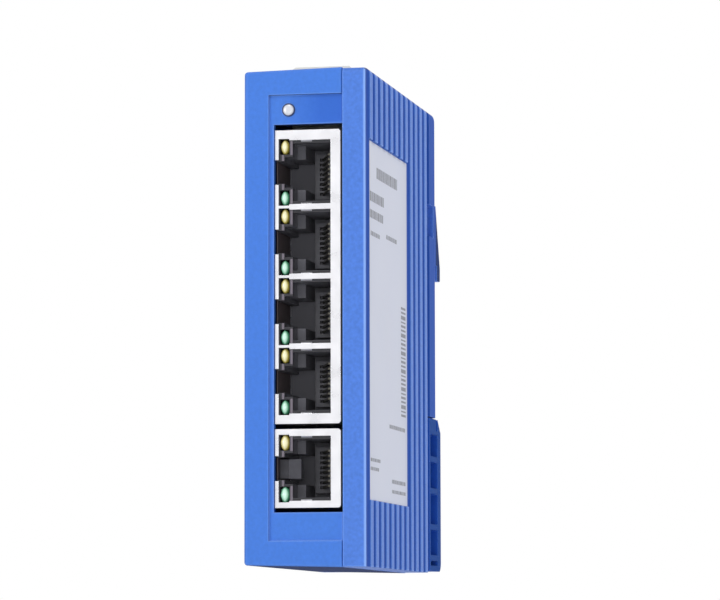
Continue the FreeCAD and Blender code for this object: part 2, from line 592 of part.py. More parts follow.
def cavity_cuts(centre):
    """The plug's room in a jack housing: body, key step and latch slot, plus the bay for the contact carrier."""
    y = (MOULD_FACE_Y, MOULD_FACE_Y + CAVITY_DEPTH)
    shoulder_x = CAVITY_LEFT_X + SHOULDER_WIDTH
    window_right = JACK_LEFT_X + PORT_WINDOW_LEFT + PORT_WINDOW_WIDTH
    mouth = box((CAVITY_LEFT_X, window_right), (MOULD_FACE_Y, MOULD_FACE_Y + MOUTH_DEPTH), centred(centre, CAVITY_HEIGHT))
    body = box((shoulder_x, window_right), y, centred(centre, CAVITY_HEIGHT))
    step = box((CAVITY_LEFT_X - KEY_STEP_WIDTH, shoulder_x), y, centred(centre, KEY_STEP_HEIGHT))
    slot = box((JACK_LEFT_X + SHIELD_THICKNESS, CAVITY_LEFT_X - KEY_STEP_WIDTH), y, centred(centre, KEY_SLOT_HEIGHT))
    bay_front = MOULD_FACE_Y + CARRIER_FRONT - CONTACT_THICKNESS - 2 * CONTACT_CLEARANCE
    bay = box((CARRIER_X, BOARD_X), (bay_front, MOULD_REAR_Y), centred(centre, CARRIER_WIDTH))
    return [mouth, body, step, slot, bay]


def lamp_cuts(centre):
    cuts = []
    x = (JACK_LEFT_X + LAMP_FROM_LEFT - LAMP_CLEARANCE, JACK_LEFT_X + LAMP_FROM_LEFT + LAMP_WIDTH + LAMP_CLEARANCE)
    for up in (1, -1):
        cuts.append(box(x, (MOULD_FACE_Y, MOULD_FACE_Y + LAMP_LENGTH + LAMP_CLEARANCE),
                        centred(centre + up * lamp_offset(), LAMP_HEIGHT + 2 * LAMP_CLEARANCE)))
    return cuts


def jack_housing(low, height, centres):
    solid = box((JACK_LEFT_X + SHIELD_THICKNESS, BOARD_X), (MOULD_FACE_Y, MOULD_REAR_Y),
                (low + SHIELD_THICKNESS, low + height - SHIELD_THICKNESS))
    cuts = []
    for centre in centres:
        cuts += cavity_cuts(centre) + lamp_cuts(centre)
        for up in (1, -1):
            edge = centre + up * PORT_WINDOW_HEIGHT / 2
            cuts.append(box((JACK_LEFT_X + TAB_FROM_LEFT, JACK_LEFT_X + TAB_FROM_LEFT + TAB_WIDTH),
                            (MOULD_FACE_Y, JACK_FACE_Y + TAB_LENGTH), centred(edge, 2 * TAB_REACH)))
    solid = solid.cut(cuts)
    pegs = []
    peg_y = MOULD_FACE_Y + PEG_BACK
    for height_z in (centres[0] + PEG_OFFSET, centres[-1] - PEG_OFFSET):
        pegs.append(rod(PEG_DIAMETER, vector(BOARD_X, peg_y, height_z), vector(1, 0, 0), PEG_LENGTH))
    return join([solid] + pegs)


def contact_carrier(centre):
    """An L-shaped insert with a comb that keeps the wires' free ends apart."""
    y0 = MOULD_FACE_Y + CARRIER_FRONT
    z = centred(centre, CARRIER_WIDTH)
    plate_x = (CARRIER_X, CARRIER_X + CARRIER_PLATE)
    plate = box(plate_x, (y0, y0 + CARRIER_LENGTH), z)
    foot = box((CARRIER_X, BOARD_X), (y0 + CARRIER_LENGTH - CARRIER_FOOT, y0 + CARRIER_LENGTH), z)
    comb_y = MOULD_FACE_Y + COMB_START
    comb = box((CARRIER_X - COMB_HEIGHT, CARRIER_X), (comb_y, comb_y + COMB_LENGTH), z)
    slots = []
    for offset in contact_offsets():
        slots.append(box((CARRIER_X - COMB_HEIGHT + COMB_BAR, CARRIER_X), (comb_y, comb_y + COMB_LENGTH / 2),
                         centred(centre + offset, COMB_SLOT)))
    return join([plate, foot, comb.cut(slots)])


def contact_offsets():
    return [CONTACT_PITCH * (number - (CONTACT_COUNT - 1) / 2) for number in range(CONTACT_COUNT)]


def strip_outline(path, thickness):
    """Closed outline of a bent strip around a centre line of (x, y) points."""
    left = []
    right = []
    for number, (px, py) in enumerate(path):
        normals = []
        for start, end in ((number - 1, number), (number, number + 1)):
            if start >= 0 and end < len(path):
                dx = path[end][0] - path[start][0]
                dy = path[end][1] - path[start][1]
                length = math.hypot(dx, dy)
                normals.append((-dy / length, dx / length))
        nx = sum(normal[0] for normal in normals)
        ny = sum(normal[1] for normal in normals)
        scale = thickness / 2 * len(normals) / (nx * nx + ny * ny)
        left.append((px + nx * scale, py + ny * scale))
        right.append((px - nx * scale, py - ny * scale))
    return left + list(reversed(right))


def contacts(centre):
    """Eight spring wires: a tail on the board, a run below the carrier, a fold and a free end in the cavity."""
    half = CONTACT_THICKNESS / 2
    front = MOULD_FACE_Y + CARRIER_FRONT - CONTACT_CLEARANCE - half
    tail = MOULD_FACE_Y + CARRIER_FRONT + CARRIER_LENGTH - CARRIER_FOOT - CONTACT_CLEARANCE - half
    under_x = CARRIER_X + CARRIER_PLATE + CONTACT_CLEARANCE + half
    over_x = CARRIER_X - CONTACT_CLEARANCE - half
    path = [(BOARD_X, tail), (under_x, tail), (under_x, front), (over_x, front),
            (CARRIER_X - CONTACT_RISE, MOULD_FACE_Y + CONTACT_TIP)]
    outline = strip_outline(path, CONTACT_THICKNESS)
    wires = []
    for offset in contact_offsets():
        wires.append(prism_along_z(outline, centred(centre + offset, CONTACT_WIDTH)))
    return group(wires)


def jack_lamp(centre, up):
    """A long lamp of oval outline with a domed face."""
    x = (JACK_LEFT_X + LAMP_FROM_LEFT, JACK_LEFT_X + LAMP_FROM_LEFT + LAMP_WIDTH)
    z = centred(centre + up * lamp_offset(), LAMP_HEIGHT)
    block = box(x, (MOULD_FACE_Y - LAMP_DOME / 2, MOULD_FACE_Y + LAMP_LENGTH), z)
    long_edges = [edge for edge in block.Edges if near(edge.Length, LAMP_LENGTH + LAMP_DOME / 2)]
    block = block.makeChamfer(LAMP_WIDTH * LAMP_CORNER, long_edges)
    front = edges_where(block, lambda p: near(p.y, MOULD_FACE_Y - LAMP_DOME / 2))
    return block.makeChamfer(LAMP_DOME, front)


# ---------------------------------------------------------------- circuit board
def circuit_board():
    board = box((BOARD_X, BOARD_FAR_X), (Y_FRONT + BOARD_FRONT, -BOARD_REAR), (Z_LOW + BOARD_LOW, Z_HIGH - BOARD_HIGH))
    holes = []
    for post_y, post_z in POSTS:
        holes.append(rod(BOARD_HOLE, vector(BOARD_X, post_y, post_z), vector(1, 0, 0), BOARD_THICKNESS))
    centres = port_centres()
    for height_z in (centres[0] + PEG_OFFSET, centres[BLOCK_PORTS - 1] - PEG_OFFSET,
                     centres[-1] + PEG_OFFSET, centres[-1] - PEG_OFFSET):
        holes.append(box((BOARD_X, BOARD_FAR_X), centred(MOULD_FACE_Y + PEG_BACK, PEG_HOLE),
                         centred(height_z, PEG_HOLE)))
    for pole_y in POLES_Y:
        holes.append(box((BOARD_X, BOARD_FAR_X), centred(pole_y, PIN_HOLE), centred(pin_z(), PIN_HOLE)))
    return board.cut(holes)


def board_screws():
    screws = []
    for y, z in POSTS:
        head = rod(SCREW_HEAD, vector(BOARD_FAR_X, y, z), vector(1, 0, 0), SCREW_HEAD_HEIGHT)
        shank = rod(SCREW_SHANK, vector(BOARD_FAR_X - SCREW_LENGTH, y, z), vector(1, 0, 0), SCREW_LENGTH)
        slot = box((BOARD_FAR_X + SCREW_HEAD_HEIGHT / 2, BOARD_FAR_X + SCREW_HEAD_HEIGHT),
                   centred(y, SCREW_HEAD), centred(z, SCREW_SLOT))
        screws.append(join([head, shank]).cut(slot))
    return group(screws)


def on_board(y, z, thickness):
    """A block on the board's left face."""
    return box((BOARD_X - thickness, BOARD_X), y, z)


def chip_y():
    return centred(MOULD_REAR_Y + CHIP_BACK, CHIP_SIDE)


def chip_z():
    return centred(port_centres()[2], CHIP_SIDE)


def regulator_z():
    low = chip_z()[1] + PART_GAP
    return (low, low + REGULATOR_LENGTH)


def input_places():
    """(y, z) ranges of fuse and diode, behind and below the terminal, and of the inductor beside them."""
    fuse_y = (PLUG_REAR_Y + PART_GAP, PLUG_REAR_Y + PART_GAP + FUSE_LENGTH)
    fuse_z = (pin_z() - FUSE_WIDTH, pin_z())
    diode_z = (fuse_z[0] - PART_GAP - DIODE_WIDTH, fuse_z[0] - PART_GAP)
    diode_y = (fuse_y[0], fuse_y[0] + DIODE_LENGTH)
    inductor_y = (fuse_y[1] + PART_GAP, fuse_y[1] + PART_GAP + INDUCTOR_SIDE)
    inductor_z = (fuse_z[1] - INDUCTOR_SIDE, fuse_z[1])
    return (fuse_y, fuse_z), (diode_y, diode_z), (inductor_y, inductor_z)


def power_inductor():
    y, z = input_places()[2]
    block = on_board(y, z, INDUCTOR_THICKNESS)
    return block.makeChamfer(INDUCTOR_CORNER, [edge for edge in block.Edges if near(edge.Length, INDUCTOR_THICKNESS)])


def can_capacitor(low_y, low_z, diameter, length):
    """An electrolytic capacitor: a can on a square base."""
    base = on_board((low_y, low_y + diameter), (low_z, low_z + diameter), CAN_BASE)
    can = rod(diameter, vector(BOARD_X - length, low_y + diameter / 2, low_z + diameter / 2), vector(1, 0, 0),
              length - CAN_BASE)
    return join([base, can])


def transformer(z, tall):
    """A line transformer module with gull-wing leads along its two long sides."""
    y0 = MOULD_REAR_Y + TRANSFORMER_BACK
    lead_lift = TRANSFORMER_LEAD / 2
    body = box((BOARD_X - TRANSFORMER_THICKNESS, BOARD_X - lead_lift), (y0, y0 + TRANSFORMER_LENGTH), centred(z, tall))
    leads = []
    pitch = tall / TRANSFORMER_LEADS
    for number in range(TRANSFORMER_LEADS):
        lead_z = z + pitch * (number - (TRANSFORMER_LEADS - 1) / 2)
        leads.append(box((BOARD_X - TRANSFORMER_LEAD, BOARD_X), (y0 - 2 * TRANSFORMER_LEAD, y0 + TRANSFORMER_LENGTH
                                                              + 2 * TRANSFORMER_LEAD), centred(lead_z, TRANSFORMER_LEAD)))
    return join([body] + leads)


def status_led():
    y = GUIDE_BAR_Y + GUIDE_BAR / 2
    return box((BOARD_X - STATUS_LED_HEIGHT, BOARD_X), centred(y, GUIDE_BAR), centred(LENS_Z, GUIDE_BAR / 2))


def status_light_guide():
    """Round lens in the front, then a square bar that turns the lamp's light by a slanted facet."""
    half = GUIDE_BAR / 2
    end_x = BOARD_X - STATUS_LED_HEIGHT - STATUS_LED_GAP
    outline = [(LENS_X - half, GUIDE_BAR_Y), (end_x, GUIDE_BAR_Y), (end_x, GUIDE_BAR_Y + GUIDE_BAR),
               (LENS_X + half, GUIDE_BAR_Y + GUIDE_BAR)]
    bar = prism_along_z(outline, centred(LENS_Z, GUIDE_BAR))
    stem = rod(LENS_DIAMETER, vector(LENS_X, LENS_TIP_Y, LENS_Z), vector(0, 1, 0), GUIDE_STEM - GUIDE_NECK)
    neck = box(centred(LENS_X, GUIDE_BAR), (GUIDE_BAR_Y - GUIDE_NECK, GUIDE_BAR_Y), centred(LENS_Z, GUIDE_BAR))
    return join([stem, neck, bar])


# ---------------------------------------------------------------- power terminal
def pin_z():
    return NOSE_LOW_Z - HEADER_CLEARANCE - HEADER_FLOOR / 2


def power_header():
    x = (NOSE_X - HEADER_CLEARANCE - HEADER_WALL, BOARD_X)
    y = (PLUG_FRONT_Y, PLUG_REAR_Y)
    z = (NOSE_LOW_Z - HEADER_CLEARANCE - HEADER_FLOOR, PLUG_NECK_Z - HEADER_CLEARANCE)
    cavity = box((NOSE_X - HEADER_CLEARANCE, NOSE_X + PLUG_NOSE_WIDTH + HEADER_CLEARANCE),
                 (PLUG_FRONT_Y + PLUG_NOSE_END - HEADER_CLEARANCE, PLUG_REAR_Y - PLUG_NOSE_END + HEADER_CLEARANCE),
                 (NOSE_LOW_Z - HEADER_CLEARANCE, z[1]))
    cuts = [cavity]
    for pole_y in POLES_Y:
        side = centred(0, PIN_SIDE)
        pin_x = NOSE_X + PLUG_NOSE_WIDTH / 2
        cuts.append(box((pin_x + side[0], BOARD_X), (pole_y + side[0], pole_y + side[1]),
                        (pin_z() + side[0], NOSE_LOW_Z)))
    return box(x, y, z).cut(cuts)


def power_header_pins():
    pins = []
    pin_x = NOSE_X + PLUG_NOSE_WIDTH / 2
    for pole_y in POLES_Y:
        y = centred(pole_y, PIN_SIDE)
        low = pin_z() - PIN_SIDE / 2
        upright = box(centred(pin_x, PIN_SIDE), y, (low, NOSE_LOW_Z + PIN_IN_PLUG))
        tail = box((pin_x, BOARD_FAR_X + PIN_TAIL), y, centred(pin_z(), PIN_SIDE))
        pins.append(join([upright, tail]))
    return group(pins)


def power_plug():
    x = (PLUG_LEFT_X, PLUG_LEFT_X + PLUG_WIDTH)
    head = box(x, (PLUG_FRONT_Y, PLUG_REAR_Y), (PLUG_NECK_Z, PLUG_TOP_Z))
    head = head.makeChamfer(PLUG_CHAMFER, edges_where(head, lambda p: near(p.z, PLUG_TOP_Z)))
    nose = box((NOSE_X, NOSE_X + PLUG_NOSE_WIDTH), (PLUG_FRONT_Y + PLUG_NOSE_END, PLUG_REAR_Y - PLUG_NOSE_END),
               (NOSE_LOW_Z, PLUG_NECK_Z))
    cuts = []
    pin_x = NOSE_X + PLUG_NOSE_WIDTH / 2
    for pole_y in POLES_Y:
        cuts.append(box(centred(PLUG_LEFT_X + WIRE_HOLE_X, WIRE_HOLE), centred(pole_y, WIRE_HOLE),
                        (CLAMP_Z, PLUG_TOP_Z)))
        cuts.append(rod(SCREW_WELL, vector(PLUG_LEFT_X + SCREW_WELL_X, pole_y, CLAMP_Z), vector(0, 0, 1),
                        PLUG_TOP_Z - CLAMP_Z))
        cuts.append(box((PLUG_LEFT_X, PLUG_LEFT_X + CLAMP_LEFT + CLAMP_LENGTH + CLAMP_CLEARANCE),
                        centred(pole_y, CLAMP_WIDTH + 2 * CLAMP_CLEARANCE), (CLAMP_Z, CLAMP_Z + CLAMP_HEIGHT
                                                                           + CLAMP_CLEARANCE)))
        cuts.append(box(centred(pin_x, PIN_SIDE + 2 * PIN_CLEARANCE), centred(pole_y, PIN_SIDE + 2 * PIN_CLEARANCE),
                        (NOSE_LOW_Z, CLAMP_Z)))
    return join([head, nose]).cut(cuts)


def power_plug_clamps():
    clamps = []
    x0 = PLUG_LEFT_X + CLAMP_LEFT
    for pole_y in POLES_Y:
        block = box((x0, x0 + CLAMP_LENGTH), centred(pole_y, CLAMP_WIDTH), (CLAMP_Z, CLAMP_Z + CLAMP_HEIGHT))
        wire = box(centred(PLUG_LEFT_X + WIRE_HOLE_X, CLAMP_HOLE), centred(pole_y, CLAMP_HOLE),
                   (CLAMP_Z, CLAMP_Z + CLAMP_HEIGHT))
        screw_hole = TERMINAL_SCREW_SHANK + 2 * SCREW_CLEARANCE
        thread = box(centred(PLUG_LEFT_X + SCREW_WELL_X, screw_hole), centred(pole_y, screw_hole),
                     (CLAMP_Z, CLAMP_Z + CLAMP_HEIGHT))
        clamps.append(block.cut([wire, thread]))
    return group(clamps)


def power_plug_screws():
    screws = []
    head_top = PLUG_TOP_Z - TERMINAL_SCREW_DEEP
    head_low = head_top - TERMINAL_SCREW_HEAD_HEIGHT
    for pole_y in POLES_Y:
        x = PLUG_LEFT_X + SCREW_WELL_X
        head = rod(TERMINAL_SCREW_HEAD, vector(x, pole_y, head_low), vector(0, 0, 1), TERMINAL_SCREW_HEAD_HEIGHT)
        shank_low = CLAMP_Z + CLAMP_HEIGHT / 4
        shank = rod(TERMINAL_SCREW_SHANK, vector(x, pole_y, shank_low), vector(0, 0, 1), head_low - shank_low)
        slot = box(centred(x, TERMINAL_SCREW_HEAD), centred(pole_y, SCREW_SLOT),
                   (head_top - TERMINAL_SCREW_HEAD_HEIGHT / 2, head_top))
        screws.append(join([head, shank]).cut(slot))
    return group(screws)


# ---------------------------------------------------------------- all pieces
def pieces():
    centres = port_centres()
    block = centres[:BLOCK_PORTS]
    single = centres[BLOCK_PORTS:]
    fuse, diode, inductor = input_places()
    chip_low_y = chip_y()[0]
    crystal_z = (chip_z()[0] - PART_GAP - CRYSTAL_WIDTH, chip_z()[0] - PART_GAP)
    made = {
        "body_shell": body_shell(),
        "side_cover": side_cover(),
        "rating_label": rating_label(),
        "rail_latch": rail_latch(),
        "latch_spring": latch_spring(),
        "status_light_guide": status_light_guide(),
        "status_led": status_led(),
        "port_block_shield": shield(BLOCK_LOW_Z, BLOCK_HEIGHT, block),
        "port_block_housing": jack_housing(BLOCK_LOW_Z, BLOCK_HEIGHT, block),
        "port_5_shield": shield(SINGLE_LOW_Z, SINGLE_HEIGHT, single),
        "port_5_housing": jack_housing(SINGLE_LOW_Z, SINGLE_HEIGHT, single),
        "circuit_board": circuit_board(),
        "board_screws": board_screws(),
        "switch_chip": on_board(chip_y(), chip_z(), CHIP_THICKNESS),
        "regulator_chip": on_board((chip_low_y, chip_low_y + REGULATOR_WIDTH), regulator_z(), REGULATOR_THICKNESS),
        "crystal": on_board((chip_low_y, chip_low_y + CRYSTAL_LENGTH), crystal_z, CRYSTAL_THICKNESS),
        "input_fuse": on_board(*fuse, FUSE_THICKNESS),
        "input_diode": on_board(*diode, DIODE_THICKNESS),
        "power_inductor": power_inductor(),
        "input_capacitor": can_capacitor(inductor[0][0], inductor[1][1] + PART_GAP, INPUT_CAN_DIAMETER, INPUT_CAN_LENGTH),
        "output_capacitor": can_capacitor(chip_low_y + REGULATOR_WIDTH + PART_GAP, regulator_z()[0],
                                          OUTPUT_CAN_DIAMETER, OUTPUT_CAN_LENGTH),
        "power_header": power_header(),
        "power_header_pins": power_header_pins(),
        "power_plug": power_plug(),
        "power_plug_clamps": power_plug_clamps(),
        "power_plug_screws": power_plug_screws(),
    }
    for number, centre in enumerate(centres, start=1):
        made[f"port_{number}_contact_carrier"] = contact_carrier(centre)
        made[f"port_{number}_contacts"] = contacts(centre)
        made[f"port_{number}_led_yellow"] = jack_lamp(centre, 1)
        made[f"port_{number}_led_green"] = jack_lamp(centre, -1)
    made["transformer_1"] = transformer(centres[1], TRANSFORMER_HEIGHT)
    made["transformer_2"] = transformer(centres[3], TRANSFORMER_HEIGHT)
    made["transformer_3"] = transformer(centres[4], SMALL_TRANSFORMER_HEIGHT)
    return made


def main():
    os.makedirs("parts", exist_ok=True)
    for name, shape in sorted(pieces().items()):
        shape.exportStep(f"parts/{name}.step")
        print(name, "solids", len(shape.Solids), "valid", shape.isValid(), "volume", round(shape.Volume, 1))


main()
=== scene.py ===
import math

import bmesh
import bpy
from mathutils import Matrix, Vector


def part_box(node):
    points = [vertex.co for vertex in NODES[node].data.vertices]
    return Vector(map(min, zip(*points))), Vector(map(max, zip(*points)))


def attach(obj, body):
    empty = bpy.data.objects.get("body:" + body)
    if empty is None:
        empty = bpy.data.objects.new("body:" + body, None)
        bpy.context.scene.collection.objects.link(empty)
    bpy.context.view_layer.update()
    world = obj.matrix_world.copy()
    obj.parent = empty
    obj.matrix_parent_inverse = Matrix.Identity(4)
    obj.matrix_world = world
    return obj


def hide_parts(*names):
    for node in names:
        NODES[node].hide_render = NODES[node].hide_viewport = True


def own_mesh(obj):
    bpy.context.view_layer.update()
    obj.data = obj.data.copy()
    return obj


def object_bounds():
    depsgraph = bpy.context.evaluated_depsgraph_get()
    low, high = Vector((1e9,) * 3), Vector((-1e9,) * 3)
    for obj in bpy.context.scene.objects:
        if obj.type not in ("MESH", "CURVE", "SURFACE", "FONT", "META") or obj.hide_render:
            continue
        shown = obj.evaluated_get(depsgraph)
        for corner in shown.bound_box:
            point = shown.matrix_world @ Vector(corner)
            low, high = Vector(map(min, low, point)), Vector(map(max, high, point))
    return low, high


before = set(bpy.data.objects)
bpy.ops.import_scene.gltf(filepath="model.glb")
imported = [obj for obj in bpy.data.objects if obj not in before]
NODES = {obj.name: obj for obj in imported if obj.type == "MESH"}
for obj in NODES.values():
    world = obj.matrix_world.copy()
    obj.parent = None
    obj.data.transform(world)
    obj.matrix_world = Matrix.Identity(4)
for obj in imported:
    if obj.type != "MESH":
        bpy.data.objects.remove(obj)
CAD_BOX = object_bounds()
MM = 0.001


def colour(text):
    """The linear values that the shaders take, from an sRGB hex."""
    values = []
    for start in (0, 2, 4):
        level = int(text[start:start + 2], 16) / 255
        values.append(level / 12.92 if level <= 0.04045 else ((level + 0.055) / 1.055) ** 2.4)
    return tuple(values) + (1.0,)


# ---------------------------------------------------------------- materials
class Material:
    """A Principled material on object coordinates, with helpers for the procedural parts."""

    def __init__(self, name, base, roughness, metallic=0.0, **sockets):
        self.material = bpy.data.materials.new(name)
        self.material.use_nodes = True
        self.tree = self.material.node_tree
        self.shader = self.tree.nodes["Principled BSDF"]
        self.shader.inputs["Base Color"].default_value = base
        self.shader.inputs["Roughness"].default_value = roughness
        self.shader.inputs["Metallic"].default_value = metallic
        for socket, value in sockets.items():
            self.shader.inputs[socket.replace("_", " ")].default_value = value
        self.base = base
        self.roughness = roughness
        self.normal = None
        self.coordinates = self.node("ShaderNodeTexCoord").outputs["Object"]

    def node(self, kind, **settings):
        made = self.tree.nodes.new(kind)
        for name, value in settings.items():
            setattr(made, name, value)
        return made

    def link(self, out, into):
        self.tree.links.new(out, into)

    def noise(self, scale, detail=3.0, stretch=(1, 1, 1)):
        mapping = self.node("ShaderNodeMapping")
        mapping.inputs["Scale"].default_value = stretch
        self.link(self.coordinates, mapping.inputs["Vector"])
        noise = self.node("ShaderNodeTexNoise")
        noise.inputs["Scale"].default_value = scale
        noise.inputs["Detail"].default_value = detail
        self.link(mapping.outputs["Vector"], noise.inputs["Vector"])
        return noise.outputs["Fac"]

    def spread(self, value, low, high):
        """The middle part of a noise, stretched from low to high."""
        reach = self.node("ShaderNodeMapRange")
        reach.inputs["From Min"].default_value = 0.3
        reach.inputs["From Max"].default_value = 0.7
        reach.inputs["To Min"].default_value = low
        reach.inputs["To Max"].default_value = high
        self.link(value, reach.inputs["Value"])
        return reach.outputs["Result"]

    def mottle(self, scale, amount, stretch=(1, 1, 1)):
        """Small changes of tone."""
        mix = self.node("ShaderNodeMix", data_type="RGBA", blend_type="MIX")
        dark = tuple(c * (1 - amount) for c in self.base[:3]) + (1.0,)
        light = tuple(min(1.0, c * (1 + amount)) for c in self.base[:3]) + (1.0,)
        mix.inputs["A"].default_value = dark
        mix.inputs["B"].default_value = light
        self.link(self.spread(self.noise(scale, 4.0, stretch), 0, 1), mix.inputs["Factor"])
        self.link(mix.outputs["Result"], self.shader.inputs["Base Color"])
        return self

    def patchy(self, scale, amount, stretch=(1, 1, 1)):
        """Small changes of roughness."""
        low, high = self.roughness - amount, self.roughness + amount
        self.link(self.spread(self.noise(scale, 3.0, stretch), low, high), self.shader.inputs["Roughness"])
        return self

    def edge(self, radius):
        """Soft edges, from the shading alone."""
        bevel = self.node("ShaderNodeBevel", samples=4)
        bevel.inputs["Radius"].default_value = radius
        self.normal = bevel.outputs["Normal"]
        self.link(self.normal, self.shader.inputs["Normal"])
        return self

    def grain(self, scale, height, strength=0.4, stretch=(1, 1, 1), detail=3.0):
        bump = self.node("ShaderNodeBump")
        bump.inputs["Strength"].default_value = strength
        bump.inputs["Distance"].default_value = height
        self.link(self.noise(scale, detail, stretch), bump.inputs["Height"])
        if self.normal is not None:
            self.link(self.normal, bump.inputs["Normal"])
        self.normal = bump.outputs["Normal"]
        self.link(self.normal, self.shader.inputs["Normal"])
        return self

    def highlight_edges(self, radius, light, reach=6.0):
        """Painted highlight: edges a little lighter than the faces."""
        bevel = self.node("ShaderNodeBevel", samples=4)
        bevel.inputs["Radius"].default_value = radius
        flat = self.node("ShaderNodeNewGeometry")
        same = self.node("ShaderNodeVectorMath", operation="DOT_PRODUCT")
        self.link(bevel.outputs["Normal"], same.inputs[0])
        self.link(flat.outputs["True Normal"], same.inputs[1])
        turn = self.node("ShaderNodeMapRange")
        turn.inputs["From Min"].default_value = 1.0
        turn.inputs["From Max"].default_value = 1.0 - 1.0 / reach
        turn.inputs["To Max"].default_value = 1.0
        self.link(same.outputs["Value"], turn.inputs["Value"])
        self.tint(turn.outputs["Result"], light)
        return self

    def tint(self, factor, other):
        """Mix another colour over what the base colour is so far."""
        mix = self.node("ShaderNodeMix", data_type="RGBA", blend_type="MIX")
        base = self.shader.inputs["Base Color"]
        if base.links:
            self.link(base.links[0].from_socket, mix.inputs["A"])
        else:
            mix.inputs["A"].default_value = self.base
        mix.inputs["B"].default_value = other
        self.link(factor, mix.inputs["Factor"])
        self.link(mix.outputs["Result"], base)
        return self

    def ramp(self, value, low, high, top=1.0):
        """From 0 at low to top at high."""
        reach = self.node("ShaderNodeMapRange")
        reach.inputs["From Min"].default_value = low
        reach.inputs["From Max"].default_value = high
        reach.inputs["To Max"].default_value = top
        self.link(value, reach.inputs["Value"])
        return reach.outputs["Result"]

    def place(self, axis, low, high, top=1.0):
        """A ramp along an axis of the object, in metres."""
        parts = self.node("ShaderNodeSeparateXYZ")
        self.link(self.coordinates, parts.inputs["Vector"])
        return self.ramp(parts.outputs[axis], low, high, top)

    def facing(self, axis, low, high):
        """A ramp along a part of the true normal."""
        flat = self.node("ShaderNodeNewGeometry")
        parts = self.node("ShaderNodeSeparateXYZ")
        self.link(flat.outputs["True Normal"], parts.inputs["Vector"])
        return self.ramp(parts.outputs[axis], low, high)

    def combine(self, operation, *values):
        """Values joined one after another by a maths operation."""
        total = values[0]
        for value in values[1:]:
            step = self.node("ShaderNodeMath", operation=operation)
            self.link(total, step.inputs[0])
            self.link(value, step.inputs[1])
            total = step.outputs[0]
        return total

    def rougher(self, factor, roughness):
        """Mix another roughness over what the roughness is so far."""
        mix = self.node("ShaderNodeMix", data_type="FLOAT")
        socket = self.shader.inputs["Roughness"]
        if socket.links:
            self.link(socket.links[0].from_socket, mix.inputs["A"])
        else:
            mix.inputs["A"].default_value = self.roughness
        mix.inputs["B"].default_value = roughness
        self.link(factor, mix.inputs["Factor"])
        self.link(mix.outputs["Result"], socket)
        return self

    def done(self):
        return self.material


def dress(material, *names):
    for name in names:
        for slot in NODES[name].material_slots:
            slot.material = material


def plastic(name, base, speck, light, specular=0.3):
    """Spark-eroded moulding: specks, a fine grain and a painted highlight that makes the edges slightly
    paler.
    """
    made = Material(name, colour(base), 0.46, Specular_IOR_Level=specular)
    made.mottle(1300, speck).patchy(500, 0.02)
    made.highlight_edges(0.5 * MM, colour(light))
    return made.edge(0.2 * MM).grain(2600, 0.05 * MM, 0.5)


# the shell: a deeper tone on the right of the plate above the ports, painted shade underneath, where it is
# also dull, and painted shade along the left wall
shell = plastic("shell_blue", "3f79d9", 0.05, "6f9bea")
plate = shell.combine("MULTIPLY", shell.place("X", -5 * MM, 3 * MM, 0.75),
                      shell.place("Z", 41 * MM, 41.5 * MM), shell.place("Y", -73.8 * MM, -73.6 * MM),
                      shell.facing("Y", -0.5, -0.9))
shell.tint(plate, colour("1f5cc4"))
# painted shade: the faces that point down are darker, and they are also rougher
underside_shade = shell.facing("Z", -0.9, -0.98)
shell.tint(underside_shade, colour("20366a")).rougher(underside_shade, 1.0)
# painted shade: darker towards the left wall
shell.tint(shell.place("X", -12.5 * MM, -12.95 * MM, 0.45), colour("1d4392"))
SHELL_BLUE = shell.done()

# the cover: painted shade in the grooves between its ribs, painted shade on its rear strip and on the hook's
# side, which are also dull, a painted highlight on its front corner, and painted shade along its top edge
cover = plastic("cover_blue", "4f7ed9", 0.09, "7aa6f6", 0.2)
sideways = cover.facing("X", 0.5, 0.62)
# painted shade: darker in the grooves between the ribs
groove_shade = cover.combine("MULTIPLY", sideways, cover.place("X", 12.97 * MM, 12.7 * MM, 0.85),
                       cover.place("X", 12.15 * MM, 12.2 * MM))
cover.tint(groove_shade, colour("2450b4"))
# painted shade: the rear strip of the side is darker, and it is also rougher
rear = cover.combine("MULTIPLY", sideways, cover.place("Y", -9.6 * MM, -7.6 * MM, 0.8))
cover.tint(rear, colour("1d4aa8")).rougher(rear, 0.95)
# painted highlight: the front corner of the side is paler
corner = cover.combine("MULTIPLY", cover.place("X", 11.85 * MM, 12.2 * MM),
                       cover.place("Y", -73.0 * MM, -73.3 * MM), cover.facing("Y", -0.3, -0.45))
cover.tint(corner, colour("8fb5fc"))
# painted shade: the hook's side is darker, and it is also rougher
hook_side_shade = cover.combine("MULTIPLY", sideways, cover.place("Y", 0.1 * MM, 0.5 * MM, 0.9))
cover.tint(hook_side_shade, colour("142a5c")).rougher(hook_side_shade, 1.0)
# painted shade: a dark line along the top edge of the side
rim = cover.combine("MULTIPLY", cover.place("X", 12.0 * MM, 12.2 * MM),
                    cover.place("Z", 51.85 * MM, 52.1 * MM, 0.8))
cover.tint(rim, colour("1d3368"))
COVER_BLUE = cover.done()

# the latch: painted light, a clearer blue, on the floors of its pockets, and painted shade on its outer side
# faces, which are also dull
latch = plastic("latch_blue", "2258bd", 0.05, "4d80dc", 0.12)
# painted light: faces turned to the side, the floors of the pockets, get a clearer blue; painted shade: the
# outer side faces are darker, and they are also rougher
latch_side = latch.facing("X", 0.8, 0.95)
latch_outer_shade = latch.combine("MULTIPLY", latch_side, latch.place("X", 11.0 * MM, 11.4 * MM, 0.9))
latch.tint(latch_side, colour("2f78f4")).tint(latch_outer_shade, colour("1b4388")).rougher(latch_outer_shade, 0.95)
LATCH_BLUE = latch.done()

